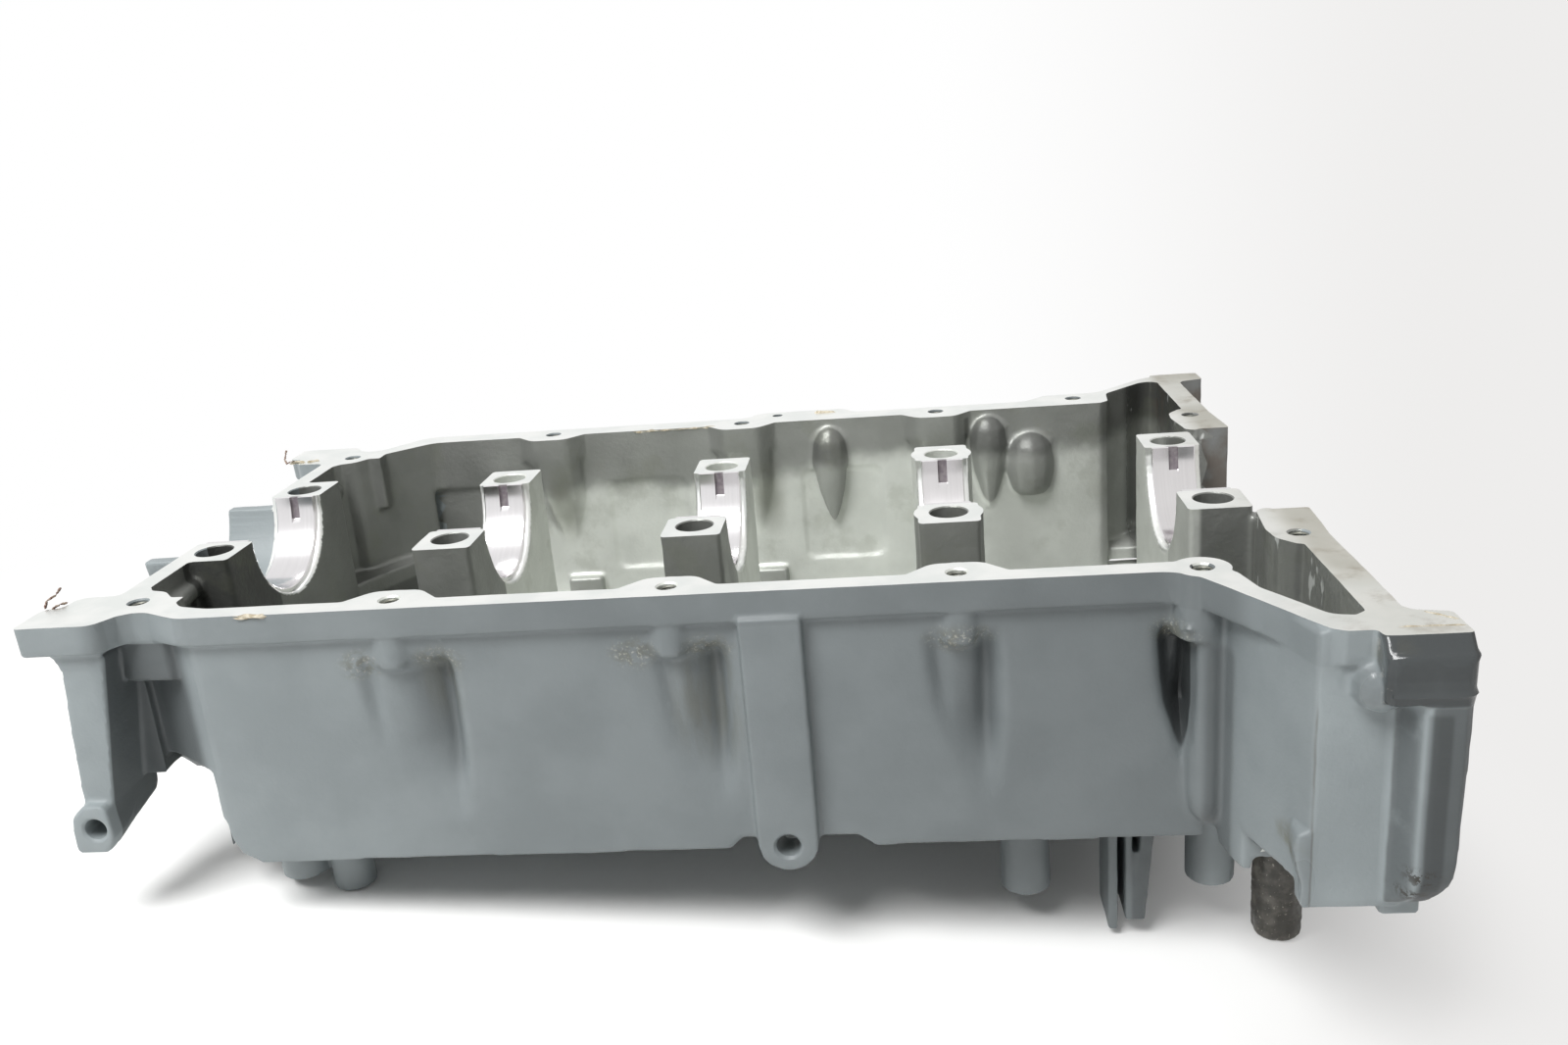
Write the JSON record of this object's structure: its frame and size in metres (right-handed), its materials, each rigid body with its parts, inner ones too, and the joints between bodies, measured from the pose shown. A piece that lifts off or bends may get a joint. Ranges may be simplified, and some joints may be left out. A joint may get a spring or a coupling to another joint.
{
  "type": "crankcase half",
  "caption": "Cast crankcase half of an inline outboard engine: parting flange, main bearing bulkheads with shells, left end legs, flared output end and feet below.",
  "frame": {"origin": "on the crank axis at the middle main bearing, in the parting face", "axes": "+X along the crank axis towards the flared output end, +Z out of the parting face, +Y to the side away from the strap"},
  "size_m": [0.476, 0.374, 0.1595],
  "materials": {
    "cast_aluminium": "grey paint outside, raw casting inside, machined parting face",
    "bearing_metal": "bright running surface",
    "hose_rubber": "dark, oily and wrinkled"
  },
  "bodies": {
    "root": {"crankcase_casting": "cast_aluminium", "main_bearing_shell_1": "bearing_metal", "main_bearing_shell_2": "bearing_metal", "main_bearing_shell_3": "bearing_metal", "main_bearing_shell_4": "bearing_metal", "main_bearing_shell_5": "bearing_metal", "drain_hose_stub": "hose_rubber"}
  },
  "joints": []
}
